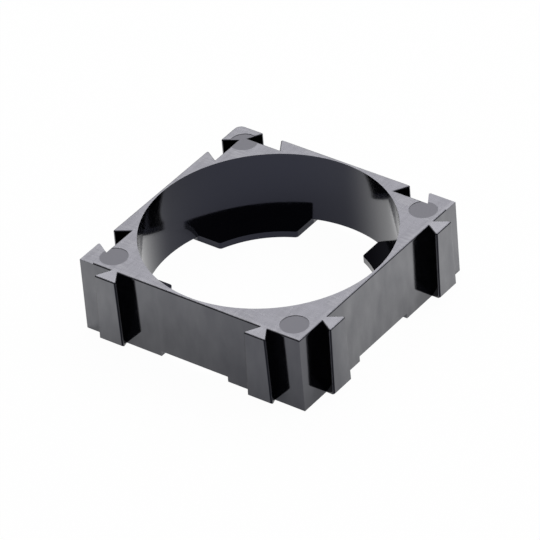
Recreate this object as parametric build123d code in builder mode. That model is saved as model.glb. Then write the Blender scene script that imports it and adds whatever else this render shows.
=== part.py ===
"""Battery cell holder bracket, one injection moulding. Millimetres, +Z up.

A square frame with a round bore takes one end of a cylindrical cell, which stops
against four tabs. Two dovetail ribs on each of two sides slide into the grooves of
the neighbouring brackets. The origin is on the cell's axis, on the tabs' seat face.
"""

from build123d import *
import os
from math import radians, sqrt, tan

# Bore and frame
cell_diameter = 32.4
cell_clearance = 0.3  # radial, between cell and bore
side_wall = 0.4  # thinnest wall, halfway along each side
height = 10.8
corner_radius = 0.3
back_corner_radius = 1.0  # at the corner between the two grooved sides
rim_radius = 0.2  # along the upper outer edges, where the walls beside them allow it

# Dovetail ribs and grooves
key_offset = 11.5  # from the middle of a side to the middle of each rib or groove
rib_width = 3.55  # across the tip at the upper end, before its edges are rounded
rib_depth = 2.0
rib_draft = 1.5  # degrees, each flank, wider towards the base
rib_edge_radius = 0.22
rib_lead = 1.1  # height of the sloping lower end, at the tip
dovetail_angle = 31.0  # between a flank and the direction square to the side
key_side_clearance = 0.75  # between flanks, along the side, at the upper end
key_tip_clearance = 0.05
mouth_radius = 0.2
lip_drop = 0.12  # step from the top face down to two corners outside the grooves

# Seat tabs, on the diagonals
tab_thickness = 0.9
tab_reach = 3.25  # from the bore's wall towards the axis
tab_corner_radius = 0.5

# Channels for the connecting strips, across the middle of each side's lower edge
channel_width = 10.3  # also the gap between neighbouring tabs
channel_height = 0.76

# Ejector marks on the top face
mark_diameter = 3.7
mark_depth = 0.05
mark_inset_rib_side = 2.5  # centre of a mark to a side with ribs
mark_inset_groove_side = 3.5  # centre of a mark to a side with grooves
mark_inset_back_corner = 2.9  # centre of the mark between the two grooved sides

# Derived sizes
bore_radius = cell_diameter / 2 + cell_clearance
half_side = bore_radius + side_wall
side = 2 * half_side
base_z = -tab_thickness
top_z = base_z + height
flank_spread = tan(radians(dovetail_angle))  # widening of each flank per unit of depth
rib_base_width = rib_width + 2 * height * tan(radians(rib_draft))
groove_depth = rib_depth + key_tip_clearance
groove_floor = half_side - groove_depth  # distance from the axis
groove_mouth_width = rib_width - 2 * rib_depth * flank_spread + 2 * key_side_clearance
groove_floor_width = groove_mouth_width + 2 * groove_depth * flank_spread
back_neck = sqrt(2) * (groove_floor - key_offset - groove_floor_width / 2)  # between two grooves
rim = min(rim_radius, 2 / 3 * side_wall, back_neck / 5)
seat_radius = bore_radius - tab_reach

# Outline from above, with grooves in -X and +Y
with BuildSketch() as outline:
    Rectangle(side, side)
    corners = outline.vertices().sort_by(Axis((0, 0, 0), (-1, 1, 0)))
    fillet(corners[-1], back_corner_radius)
    fillet(corners[:3], corner_radius)
    # Grooves, widest at the floor
    with Locations((-groove_floor, 0)), GridLocations(0, 2 * key_offset, 1, 2):
        Trapezoid(
            groove_floor_width,
            groove_depth,
            90 - dovetail_angle,
            rotation=90,
            align=(Align.CENTER, Align.MIN),
            mode=Mode.SUBTRACT,
        )
    with Locations((0, groove_floor)), GridLocations(2 * key_offset, 0, 2, 1):
        Trapezoid(
            groove_floor_width,
            groove_depth,
            90 - dovetail_angle,
            align=(Align.CENTER, Align.MIN),
            mode=Mode.SUBTRACT,
        )
    half_mouth = groove_mouth_width / 2
    for offset in (-key_offset, key_offset):
        for edge in (offset - half_mouth, offset + half_mouth):
            fillet(outline.vertices().sort_by_distance((-half_side, edge))[0], mouth_radius)
            fillet(outline.vertices().sort_by_distance((edge, half_side))[0], mouth_radius)

# One rib, standing out towards -Y from the plane of its side: widest at the tip and the base
with BuildPart() as rib:
    for level, width in ((base_z, rib_base_width), (top_z, rib_width)):
        with BuildSketch(Plane.XY.offset(level)) as section:
            Trapezoid(width, rib_depth, 90 - dovetail_angle, align=(Align.CENTER, Align.MIN))
            fillet(section.vertices().group_by(Axis.Y)[0], rib_edge_radius)
    loft()
    # Sloping lower end, so that it finds the neighbour's groove
    with BuildSketch(Plane.YZ):
        with BuildLine():
            Polyline(
                (rib_depth, base_z),
                (-rib_depth, base_z),
                (-rib_depth, base_z + 2 * rib_lead),
                close=True,
            )
        make_face()
    extrude(amount=rib_base_width, both=True, mode=Mode.SUBTRACT)

with BuildPart() as holder:
    # Frame with its grooves, and ribs on -Y and +X
    with BuildSketch(Plane.XY.offset(base_z)):
        add(outline.sketch)
    extrude(amount=height)
    with PolarLocations(0, 2, angular_range=90, endpoint=True):
        with Locations((0, -half_side - rib_depth)), GridLocations(2 * key_offset, 0, 2, 1):
            add(rib.part)
    fillet(holder.edges().group_by(Axis.Z)[-1], rim)

    # Bore
    with BuildSketch(Plane.XY.offset(base_z)):
        Circle(bore_radius)
    extrude(amount=height, mode=Mode.SUBTRACT)

    # Seat tabs: a ring inside the bore, parted by the strip channels
    with BuildSketch(Plane.XY.offset(base_z)) as tabs:
        Circle(half_side)
        Circle(seat_radius, mode=Mode.SUBTRACT)
        Rectangle(channel_width, side, mode=Mode.SUBTRACT)
        Rectangle(side, channel_width, mode=Mode.SUBTRACT)
        fillet(tabs.vertices().sort_by_distance((0, 0, base_z))[:8], tab_corner_radius)
    extrude(amount=tab_thickness)

    # Strip channels
    with BuildSketch(Plane.XY.offset(base_z)):
        Rectangle(channel_width, side)
        Rectangle(side, channel_width)
    extrude(amount=channel_height, mode=Mode.SUBTRACT)

    # Two corners outside the grooves, a small step below the top face
    lip_reach = half_side - key_offset
    with BuildSketch(Plane.XY.offset(top_z)):
        with Locations((-half_side, -half_side)):
            Rectangle(2 * groove_depth, 2 * lip_reach)
        with Locations((half_side, half_side)):
            Rectangle(2 * lip_reach, 2 * groove_depth)
    extrude(amount=-lip_drop, mode=Mode.SUBTRACT)

    # Ejector marks
    rib_side_mark = half_side - mark_inset_rib_side
    groove_side_mark = half_side - mark_inset_groove_side
    back_corner_mark = half_side - mark_inset_back_corner
    with BuildSketch(Plane.XY.offset(top_z)):
        with Locations(
            (rib_side_mark, -rib_side_mark),
            (-groove_side_mark, -rib_side_mark),
            (rib_side_mark, groove_side_mark),
            (-back_corner_mark, back_corner_mark),
        ):
            Circle(mark_diameter / 2)
    extrude(amount=-mark_depth, mode=Mode.SUBTRACT)

holder.part.label = "holder"
os.makedirs("parts", exist_ok=True)
export_step(holder.part, "parts/holder.step")
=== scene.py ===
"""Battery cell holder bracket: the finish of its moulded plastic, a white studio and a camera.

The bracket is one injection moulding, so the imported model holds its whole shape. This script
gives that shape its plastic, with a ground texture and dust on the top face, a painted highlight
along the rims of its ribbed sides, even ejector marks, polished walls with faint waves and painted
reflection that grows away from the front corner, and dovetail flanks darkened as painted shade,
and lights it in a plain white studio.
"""

import logging
import math
from dataclasses import dataclass, field
from enum import Enum
from typing import Any, Union

import bpy
from mathutils import Matrix, Vector


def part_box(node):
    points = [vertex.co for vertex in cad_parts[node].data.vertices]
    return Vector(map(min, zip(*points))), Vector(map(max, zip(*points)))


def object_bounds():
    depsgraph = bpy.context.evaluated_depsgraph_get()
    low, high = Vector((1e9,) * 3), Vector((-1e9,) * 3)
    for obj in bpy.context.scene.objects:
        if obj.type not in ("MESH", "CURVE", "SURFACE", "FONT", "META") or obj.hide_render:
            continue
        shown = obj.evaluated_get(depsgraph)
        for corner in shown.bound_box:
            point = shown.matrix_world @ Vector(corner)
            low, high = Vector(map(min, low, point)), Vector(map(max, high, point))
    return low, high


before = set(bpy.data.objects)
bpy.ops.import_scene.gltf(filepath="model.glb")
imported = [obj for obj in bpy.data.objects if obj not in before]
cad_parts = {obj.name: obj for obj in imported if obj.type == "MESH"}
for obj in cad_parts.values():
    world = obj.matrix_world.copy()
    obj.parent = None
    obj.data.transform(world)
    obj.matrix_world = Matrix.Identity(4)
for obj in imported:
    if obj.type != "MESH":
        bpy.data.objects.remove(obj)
CAD_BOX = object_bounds()
log = logging.getLogger("holder_scene")

MM = 0.001  # metres in a millimetre
MIDDLE = 0.5  # of a noise's values
WHITE = (1.0, 1.0, 1.0, 1.0)
Value = Union[float, tuple, "Socket"]


class Socket:
    """An output socket whose arithmetic adds Math nodes to its shader."""

    def __init__(self, shader: "Shader", link: bpy.types.NodeSocket) -> None:
        """Keep the shader that the socket belongs to, and the socket."""
        self.shader = shader
        self.link = link

    def _math(self, operation: str, first: Value, second: Value = 0.0) -> "Socket":
        """Add one Math node.

        Args:
            operation: The node's operation.
            first: Its first value.
            second: Its second value, unused by one-value operations.

        Returns:
            The node's output.
        """
        return self.shader.add("ShaderNodeMath", {"operation": operation}, {0: first, 1: second})

    def __add__(self, other: Value) -> "Socket":
        """Sum."""
        return self._math("ADD", self, other)

    def __radd__(self, other: Value) -> "Socket":
        """Sum, reflected."""
        return self._math("ADD", other, self)

    def __sub__(self, other: Value) -> "Socket":
        """Difference."""
        return self._math("SUBTRACT", self, other)

    def __rsub__(self, other: Value) -> "Socket":
        """Difference, reflected."""
        return self._math("SUBTRACT", other, self)

    def __mul__(self, other: Value) -> "Socket":
        """Product."""
        return self._math("MULTIPLY", self, other)

    def __rmul__(self, other: Value) -> "Socket":
        """Product, reflected."""
        return self._math("MULTIPLY", other, self)

    def root(self) -> "Socket":
        """Square root."""
        return self._math("SQRT", self)

    def most(self, other: Value) -> "Socket":
        """The larger of two values."""
        return self._math("MAXIMUM", self, other)

    def step(self, start: float, end: float) -> "Socket":
        """A smooth step.

        Args:
            start: The value at which the result is 0.
            end: The value at which the result is 1.

        Returns:
            A mask from 0 to 1.
        """
        return self.shader.add(
            "ShaderNodeMapRange",
            {"interpolation_type": "SMOOTHSTEP", "clamp": True},
            {"Value": self, "From Min": start, "From Max": end, "To Min": 0.0, "To Max": 1.0},
        )


@dataclass(frozen=True)
class Texture:
    """Solid noise: the size of its features, its octaves and its scale along X, Y and Z."""

    size: float
    detail: float
    stretch: tuple = (1.0, 1.0, 1.0)


class Shader:
    """A material's node tree, built by expressions."""

    def __init__(self, tree: bpy.types.NodeTree) -> None:
        """Start from an empty tree."""
        self.tree = tree
        tree.nodes.clear()

    def make(self, kind: str, settings: dict[str, Any], inputs: dict[Any, Value]) -> bpy.types.Node:
        """Add a node: its settings first, then its sockets.

        Args:
            kind: The node's type.
            settings: Properties of the node.
            inputs: Socket names or numbers, with a value or a Socket each.

        Returns:
            The node.
        """
        node = self.tree.nodes.new(kind)
        for name, value in settings.items():
            setattr(node, name, value)
        for name, value in inputs.items():
            if isinstance(value, Socket):
                self.tree.links.new(value.link, node.inputs[name])
            else:
                node.inputs[name].default_value = value
        return node

    def add(
        self,
        kind: str,
        settings: dict[str, Any],
        inputs: dict[Any, Value],
        output: Union[str, int] = 0,
    ) -> Socket:
        """Add a node and take one of its outputs.

        Args:
            kind: The node's type.
            settings: Properties of the node.
            inputs: Socket names or numbers, with a value or a Socket each.
            output: The output's name or number.

        Returns:
            The output.
        """
        return Socket(self, self.make(kind, settings, inputs).outputs[output])

    def noise(self, texture: Texture) -> Socket:
        """Add noise in the object's own space.

        Args:
            texture: Its size, octaves and stretch.

        Returns:
            Values around the middle, 0.5.
        """
        place = self.add("ShaderNodeTexCoord", {}, {}, "Object")
        mapped = self.add("ShaderNodeMapping", {}, {"Vector": place, "Scale": texture.stretch})
        return self.add(
            "ShaderNodeTexNoise",
            {},
            {"Vector": mapped, "Scale": 1 / texture.size, "Detail": texture.detail},
        )

    def axes(self) -> tuple[Socket, Socket, Socket]:
        """X, Y and Z in the object's own space, in metres."""
        place = self.add("ShaderNodeTexCoord", {}, {}, "Object")
        split = self.make("ShaderNodeSeparateXYZ", {}, {0: place})
        x, y, z = (Socket(self, out) for out in split.outputs)
        return x, y, z

    def facing(self) -> tuple[Socket, Socket, Socket]:
        """X, Y and Z of the surface's own normal."""
        normal = self.add("ShaderNodeNewGeometry", {}, {}, "Normal")
        split = self.make("ShaderNodeSeparateXYZ", {}, {0: normal})
        x, y, z = (Socket(self, out) for out in split.outputs)
        return x, y, z

    def blend(self, share: Value, first: Socket, second: Socket) -> Socket:
        """Mix two surfaces.

        Args:
            share: The second one's share.
            first: The surface at share 0.
            second: The surface at share 1.

        Returns:
            The mixed surface.
        """
        return self.add("ShaderNodeMixShader", {}, {0: share, 1: first, 2: second})

    def output(self, surface: Socket) -> None:
        """End the tree in a surface output."""
        self.make("ShaderNodeOutputMaterial", {}, {"Surface": surface})


def span(x: Socket, y: Socket) -> Socket:
    """Distance of a place from the origin, seen from above."""
    return (x * x + y * y).root()


@dataclass(frozen=True)
class Mark:
    """An ejector mark: the centre and radius of its round dent."""

    x: float
    y: float
    radius: float


@dataclass(frozen=True)
class Outline:
    """What the finish follows: the ejector marks, the top face's height and half the side."""

    marks: tuple[Mark, ...]
    top: float
    half: float  # past it, the ribs stand out


@dataclass(frozen=True)
class MouldedPlastic:
    """Black moulded plastic, ground on top with a painted highlight along the ribbed rims, polished on
    the walls with painted reflection, and on the flanks darkened as painted shade.
    """

    colour: tuple = (0.0006, 0.0006, 0.0007, 1.0)
    # colour of the dust on the top, and of the painted highlight along the rims of the ribbed sides
    dust_and_highlight_colour: tuple = (0.110, 0.110, 0.111, 1.0)
    index: float = 1.60

    top_gloss: float = 1.0  # specular level, 0.5 is neutral
    wall_gloss: float = 0.50
    painted_shade_gloss: float = 0.15  # painted shade: a low specular level on dovetail flanks and rounded edges, so that they render black
    top_tint: tuple = (0.88, 0.87, 1.0, 1.0)  # of the reflection seen square on
    wall_tint: tuple = (0.69, 0.72, 1.0, 1.0)

    top_roughness: float = 0.30
    rib_top_roughness: float = 0.24
    mark_roughness: float = 0.49
    wall_roughness: float = 0.085

    coat_index: float = 2.0  # of the extra gloss on the walls
    coat_roughness: float = 0.10
    # The coat on the walls paints reflection: weak at the front corner, strong away from it and at the
    # bore's ends
    coat_at_front: float = 0.38  # its weight at the corner between the ribbed sides, kept low there as painted shade
    coat_away: float = 1.0  # and far from it
    coat_on_right: tuple = (0.0, 0.32)  # where it grows along the right side, in sides
    coat_on_front: tuple = (-0.1, 1.1)  # and along the front side
    coat_in_bore: tuple = (-0.72, -0.36)  # and in the bore, along the diagonal, in half sides: painted reflection at the bore's ends, painted shade at its back

    clouds: Texture = Texture(3.2 * MM, 4.0)  # patches of the top face
    cloud_strength: float = 0.34  # on its roughness
    streaks_along_x: Texture = Texture(0.55 * MM, 2.0, (1 / 9, 1.0, 1.0))  # long and narrow
    streaks_along_y: Texture = Texture(0.55 * MM, 2.0, (1.0, 1 / 9, 1.0))
    streak_strength: float = 0.24
    grain: Texture = Texture(0.30 * MM, 3.0)
    grain_height: float = 0.006 * MM
    dust_amount: tuple = (0.42, 0.80)
    painted_highlight_rim: tuple = (0.8 * MM, 0.25 * MM)  # painted highlight: in from the ribbed sides, where the top is lighter along the rims
    # strength of that painted highlight
    painted_highlight_strength: float = 1.1

    wall_waves: Texture = Texture(3.6 * MM, 1.0, (1.0, 1.0, 0.6))
    wall_wave_height: float = 0.012 * MM
    rubs: Texture = Texture(1.8 * MM, 4.0, (1.0, 1.0, 0.4))  # faint rubbed places
    rub_on_roughness: float = 0.14
    rub_on_coat: float = 0.9

    edge: float = 0.05 * MM  # softness of the borders between finishes
    upright: tuple = (0.55, 0.97)  # part of a normal along Z, from the edges to the flat top
    square_on: tuple = (0.87, 0.97)  # squared part along X or Y, from the flanks to the walls
    top_depth: tuple = (0.5 * MM, 0.3 * MM)  # below the top face, where its finish begins
    bore_wall: tuple = (0.15 * MM, 0.25 * MM)  # in from the outer face, inside the thinnest wall

    def dress(self, name: str, outline: Outline) -> bpy.types.Material:
        """Build the material.

        Args:
            name: The material's name.
            outline: The parts of the bracket that it follows.

        Returns:
            The material.
        """
        material = bpy.data.materials.new(name)
        material.use_nodes = True
        shader = Shader(material.node_tree)
        _, _, z = shader.axes()
        _, _, facing_z = shader.facing()
        upward = facing_z.step(*self.upright)
        on_top = upward * z.step(*(outline.top - depth for depth in self.top_depth))
        rubs = shader.noise(self.rubs) - MIDDLE
        sides = self.sides(shader, outline.half, upward, rubs)
        shader.output(shader.blend(on_top, sides, self.top(shader, outline, rubs)))
        return material

    def top(self, shader: Shader, outline: Outline, rubs: Socket) -> Socket:
        """Make the top face: patches, streaks, grain, dust, a painted highlight along the rims of the
        ribbed sides and the ejector marks.

        Args:
            shader: The material's shader.
            outline: The parts of the bracket that it follows.
            rubs: The rubbed places.

        Returns:
            The surface.
        """
        x, y, _ = shader.axes()
        half = outline.half
        edge = self.edge
        in_mark: Value = 0.0
        for mark in outline.marks:
            away = span(x - mark.x, y - mark.y)
            in_mark = away.step(mark.radius + edge, mark.radius - edge) + in_mark
        on_rib = x.step(half - edge, half + edge).most(y.step(edge - half, -edge - half))
        clouds = shader.noise(self.clouds) - MIDDLE
        along_x = shader.noise(self.streaks_along_x) - MIDDLE
        along_y = shader.noise(self.streaks_along_y) - MIDDLE
        ground = (
            self.top_roughness
            + on_rib * (self.rib_top_roughness - self.top_roughness)
            + clouds * self.cloud_strength
            + (along_x + along_y) * self.streak_strength
        )
        # painted highlight: the top is lightened along the rims of the ribbed sides, in the dust colour
        start, full = self.painted_highlight_rim
        rim_highlight = x.step(half - start, half - full).most(y.step(start - half, full - half))
        rim_highlight = rim_highlight * (rubs + MIDDLE) * self.painted_highlight_strength
        dust = (clouds + along_x + MIDDLE).step(*self.dust_amount)
        colour = shader.add(
            "ShaderNodeMix",
            {"data_type": "RGBA"},
            {"Factor": (1.0 - in_mark) * dust.most(rim_highlight), "A": self.colour, "B": self.dust_and_highlight_colour},
            "Result",
        )
        grain = shader.noise(self.grain) + along_x + along_y
        return self.plastic(
            shader,
            grain * (1.0 - in_mark) * self.grain_height,
            {
                "Base Color": colour,
                "Roughness": ground + in_mark * (self.mark_roughness - ground),
                "Specular IOR Level": self.top_gloss,
                "Specular Tint": self.top_tint,
            },
        )

    def sides(self, shader: Shader, half: float, upward: Socket, rubs: Socket) -> Socket:
        """Make the walls, the bore and the tabs, with painted reflection in their coat, and the flanks
        and rounded edges, darkened as painted shade.

        Args:
            shader: The material's shader.
            half: Half the frame's side.
            upward: 1 on faces that look up.
            rubs: The rubbed places.

        Returns:
            The surface.
        """
        x, y, _ = shader.axes()
        facing_x, facing_y, _ = shader.facing()
        in_bore = span(x, y).step(*(half - wall for wall in self.bore_wall))
        flat_on = (facing_x * facing_x).most(facing_y * facing_y).step(*self.square_on)
        not_up = 1.0 - upward
        # painted reflection: the walls' coat grows away from the front corner, and the bore's coat fades
        # towards its back corner
        coat = self.painted_wall_sheen(x, y, half) * (1.0 + rubs * self.rub_on_coat)
        bore_coat = ((x - y) * (1 / (math.sqrt(2) * half))).step(*self.coat_in_bore)
        shared = {
            "Base Color": self.colour,
            "Roughness": self.wall_roughness + rubs * self.rub_on_roughness,
            "Specular Tint": self.wall_tint,
        }
        # the walls' own gloss, plus the coat that paints reflection
        polish_and_sheen = {
            "Specular IOR Level": self.wall_gloss,
            "Coat Weight": flat_on * coat * (1.0 - in_bore) + in_bore * bore_coat * not_up,
        }
        relief = shader.noise(self.wall_waves) * self.wall_wave_height
        wall = self.plastic(shader, relief, {**shared, **polish_and_sheen})
        # painted shade: flanks and rounded edges get a low specular level and no coat, so that they
        # render black
        shaded_flank = self.plastic(shader, relief, {**shared, "Specular IOR Level": self.painted_shade_gloss})
        return shader.blend((1.0 - flat_on) * (1.0 - in_bore) * not_up, wall, shaded_flank)

    def painted_wall_sheen(self, x: Socket, y: Socket, half: float) -> Socket:
        """Paint reflection on the walls: their coat, and with it their gloss, grows away from the front
        corner, leaving painted shade at the corner.

        Args:
            x: Place along X.
            y: Place along Y.
            half: Half the frame's side.

        Returns:
            The coat's weight on the walls.
        """
        per_side = 1 / (2 * half)
        along_right = ((y + half) * per_side).step(*self.coat_on_right)
        along_front = ((half - x) * per_side).step(*self.coat_on_front)
        return self.coat_at_front + along_right.most(along_front) * (self.coat_away - self.coat_at_front)

    def plastic(self, shader: Shader, relief: Socket, inputs: dict[str, Value]) -> Socket:
        """Add the plastic with one of its surfaces.

        Args:
            shader: The material's shader.
            relief: Height of the surface's fine relief, in metres.
            inputs: What sets this surface apart.

        Returns:
            The surface.
        """
        normal = shader.add("ShaderNodeBump", {}, {"Strength": 1.0, "Distance": 1.0, "Height": relief})
        shared = {
            "IOR": self.index,
            "Coat IOR": self.coat_index,
            "Coat Roughness": self.coat_roughness,
            "Normal": normal,
        }
        return shader.add("ShaderNodeBsdfPrincipled", {}, {**shared, **inputs})


@dataclass
class Holder:
    """The bracket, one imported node, with the places on it that its finish follows."""

    node: str = "holder"
    slot: str = "body"
    mark_radius: float = 1.85 * MM
    mark_inset_rib_side: float = 2.5 * MM
    mark_inset_groove_side: float = 3.5 * MM
    mark_inset_back_corner: float = 2.9 * MM
    finish: MouldedPlastic = field(default_factory=MouldedPlastic)

    def marks(self, half: float) -> tuple[Mark, ...]:
        """The four ejector marks.

        Args:
            half: Half the frame's side.

        Returns:
            The marks, from the front corner round to the back one.
        """
        ribs = half - self.mark_inset_rib_side
        grooves = half - self.mark_inset_groove_side
        back = half - self.mark_inset_back_corner
        places = ((ribs, -ribs), (-grooves, -ribs), (ribs, grooves), (-back, back))
        return tuple(Mark(x, y, self.mark_radius) for x, y in places)

    def dress(self) -> bpy.types.Object:
        """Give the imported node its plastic.

        Returns:
            The node's object.
        """
        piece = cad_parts[self.node]
        low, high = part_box(self.node)
        half = -low.x
        outline = Outline(self.marks(half), high.z, half)
        plastic = self.finish.dress("black_moulded_plastic", outline)
        if piece.material_slots:
            for place in piece.material_slots:
                place.material = plastic
        else:
            piece.data.materials.append(plastic)
        log.info("%s: %d faces, finish %s", piece.name, len(piece.data.polygons), plastic.name)
        return piece


class Side(Enum):
    """Where a soft box stands, as azimuth and elevation of the way to it, in degrees."""

    BEHIND = (212.0, 44.0)
    BACK_RIGHT = (140.0, 46.0)
    OVERHEAD = (38.9, 88.0)


@dataclass(frozen=True)
class SoftBox:
    """A square area lamp that faces the bracket."""

    name: str
    side: Side
    distance: float
    size: float
    radiance: float

    def build(self, target: Vector) -> bpy.types.Object:
        """Make the lamp.

        Args:
            target: The point that it faces.

        Returns:
            The lamp's object.
        """
        azimuth, elevation = (math.radians(angle) for angle in self.side.value)
        away = Vector((
            math.sin(azimuth) * math.cos(elevation),
            -math.cos(azimuth) * math.cos(elevation),
            math.sin(elevation),
        ))
        lamp = bpy.data.lights.new(self.name, "AREA")
        lamp.shape = "SQUARE"
        lamp.size = self.size
        lamp.energy = self.radiance * math.pi * self.size**2
        thing = bpy.data.objects.new(self.name, lamp)
        thing.location = target + away * self.distance
        thing.rotation_mode = "QUATERNION"
        thing.rotation_quaternion = away.to_track_quat("Z", "Y")
        bpy.context.scene.collection.objects.link(thing)
        log.info("%s: %.2f m square", self.name, self.size)
        return thing


@dataclass
class Studio:
    """A white floor, white surroundings and soft boxes."""

    floor_size: float = 1.6
    floor_gap: float = 0.02 * MM  # under the bracket, so that the two faces don't share a plane
    floor_colour: tuple = (0.86, 0.86, 0.86, 1.0)
    floor_white_seen: float = 0.975  # share of plain white that the camera sees
    floor_white_in_gloss: float = 0.4  # the rest is paint, with the bracket's shadow
    world_light: float = 0.32  # also what a gloss sees of the world
    lamps: tuple = (
        SoftBox("back_soft_box", Side.BEHIND, distance=0.9, size=0.72, radiance=2.8),
        SoftBox("right_soft_box", Side.BACK_RIGHT, distance=1.0, size=0.7, radiance=2.4),
        SoftBox("top_soft_box", Side.OVERHEAD, distance=1.1, size=0.7, radiance=0.8),
    )

    def floor(self, level: float) -> bpy.types.Object:
        """Make the floor, which keeps the bracket's shadow and ends in white.

        Args:
            level: Its height.

        Returns:
            The floor's object.
        """
        half = self.floor_size / 2
        level -= self.floor_gap
        mesh = bpy.data.meshes.new("floor")
        ways = ((-1, -1), (1, -1), (1, 1), (-1, 1))
        corners = [(x * half, y * half, level) for x, y in ways]
        mesh.from_pydata(corners, [], [(0, 1, 2, 3)])
        floor = bpy.data.objects.new("floor", mesh)
        bpy.context.scene.collection.objects.link(floor)
        material = bpy.data.materials.new("white_floor")
        material.use_nodes = True
        shader = Shader(material.node_tree)
        paint = shader.add("ShaderNodeBsdfDiffuse", {}, {"Color": self.floor_colour})
        glow = shader.add("ShaderNodeEmission", {}, {"Color": WHITE, "Strength": 1.0})
        direct, gloss = seen_white(shader)
        white = direct * self.floor_white_seen + gloss * self.floor_white_in_gloss
        shader.output(shader.blend(white, paint, glow))
        mesh.materials.append(material)
        return floor

    def world(self) -> None:
        """White to the camera and through glass, and a plain even light for the rest."""
        world = bpy.data.worlds.new("studio")
        bpy.context.scene.world = world
        world.use_nodes = True
        shader = Shader(world.node_tree)
        direct, _ = seen_white(shader)
        strength = self.world_light + direct * (1.0 - self.world_light)
        back = shader.add("ShaderNodeBackground", {}, {"Color": WHITE, "Strength": strength})
        shader.make("ShaderNodeOutputWorld", {}, {"Surface": back})

    def build(self, centre: Vector, level: float) -> None:
        """Set up the floor, the world and the lamps.

        Args:
            centre: The point that the lamps face.
            level: The floor's height.
        """
        self.floor(level)
        self.world()
        for lamp in self.lamps:
            lamp.build(centre)


def seen_white(shader: Shader) -> tuple[Socket, Socket]:
    """Tell the rays that see the backdrop from the rest.

    Args:
        shader: The shader that asks.

    Returns:
        1 on rays from the camera or through glass, and 1 on rays that a gloss sends out.
    """
    path = shader.make("ShaderNodeLightPath", {}, {})
    camera, through, gloss = (
        Socket(shader, path.outputs[name])
        for name in ("Is Camera Ray", "Is Transmission Ray", "Is Glossy Ray")
    )
    return camera.most(through), gloss


@dataclass
class ViewCamera:
    """A long lens that looks down on the front corner, a little rolled."""

    azimuth: float = 38.86
    elevation: float = 36.12
    roll: float = -5.05
    reach: float = 0.68275  # from the lens to the point on the axis, along the view
    lens: float = 360.07
    aside: float = 0.531 * MM  # of the point from the view's axis, to the right
    above: float = -3.641 * MM  # and upwards
    sensor_width: float = 36.0
    near: float = 0.01
    far: float = 20.0

    def build(self, level: float) -> bpy.types.Object:
        """Make the camera.

        Args:
            level: Height of the point on the bracket's axis that the camera looks down on.

        Returns:
            The camera's object.
        """
        azimuth, elevation, roll = (math.radians(a) for a in (self.azimuth, self.elevation, self.roll))
        back = Vector((
            math.sin(azimuth) * math.cos(elevation),
            -math.cos(azimuth) * math.cos(elevation),
            math.sin(elevation),
        ))
        level_right = Vector((math.cos(azimuth), math.sin(azimuth), 0.0))
        level_up = back.cross(level_right)
        right = level_right * math.cos(roll) + level_up * math.sin(roll)
        up = level_up * math.cos(roll) - level_right * math.sin(roll)
        data = bpy.data.cameras.new("camera")
        data.lens = self.lens
        data.sensor_width = self.sensor_width
        data.clip_start = self.near
        data.clip_end = self.far
        camera = bpy.data.objects.new("camera", data)
        camera.matrix_world = Matrix.LocRotScale(
            back * self.reach - right * self.aside - up * self.above + Vector((0, 0, level)),
            Matrix((right, up, back)).transposed().to_quaternion(),
            None,
        )
        bpy.context.scene.collection.objects.link(camera)
        bpy.context.scene.camera = camera
        return camera


def main() -> None:
    """Build the camera, dress the bracket and light it."""
    logging.basicConfig(level=logging.INFO, format="%(name)s: %(message)s")
    low, high = CAD_BOX
    ViewCamera().build(low.z)
    Holder().dress()
    Studio().build((low + high) / 2, low.z)
    bpy.context.scene.view_settings.view_transform = "Standard"


if __name__ == "__main__":
    main()
